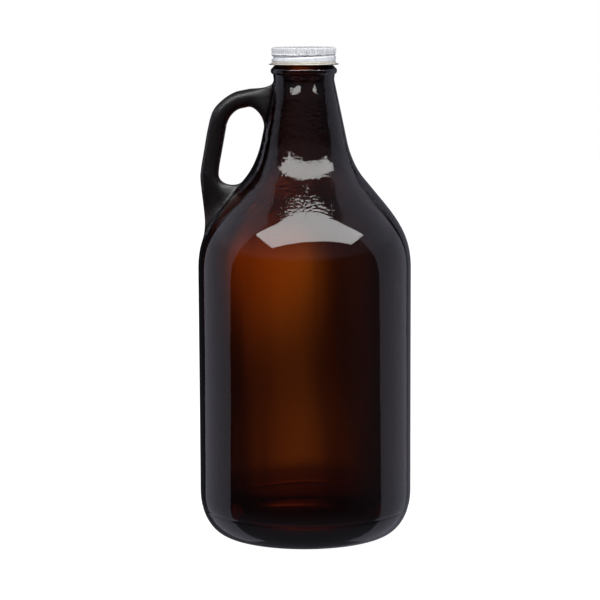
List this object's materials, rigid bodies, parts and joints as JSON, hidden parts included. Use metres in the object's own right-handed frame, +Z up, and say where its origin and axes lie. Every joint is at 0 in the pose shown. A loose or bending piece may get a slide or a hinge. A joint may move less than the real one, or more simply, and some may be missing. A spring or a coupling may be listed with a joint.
{
  "type": "growler",
  "caption": "Amber glass half-gallon jug with a round body, sloped shoulder, tapered neck and ring handle, closed by a white metal screw cap with a sealing liner.",
  "frame": {"origin": "centre of the base, on the surface the growler stands on", "axes": "+Z up along the jug's axis, -X towards the handle"},
  "size_m": [0.129, 0.129, 0.297],
  "materials": {
    "amber_glass": "glossy brown bottle glass",
    "white_enamel": "semi-gloss white enamel on tinplate",
    "pulpboard": "matt grey-brown board",
    "white_film": "smooth white film"
  },
  "bodies": {
    "bottle": {"glass_jug": "amber_glass"},
    "liner": {"liner_backing": "pulpboard", "liner_facing": "white_film"},
    "cap": {"cap_shell": "white_enamel"}
  },
  "joints": [
    {"name": "liner_lift", "type": "slide", "parent": "bottle", "child": "liner", "axis": [0, 0, 1], "range_m": [0, 0.017]},
    {"name": "cap_unscrew", "type": "hinge", "parent": "liner", "child": "cap", "pos_m": [0, 0, 0.28675], "axis": [0, 0, 1], "range_deg": [0, 1440]}
  ],
  "couplings": [
    {"joint": "liner_lift", "follows": "cap_unscrew", "m_per_rad": 0.00067376}
  ]
}
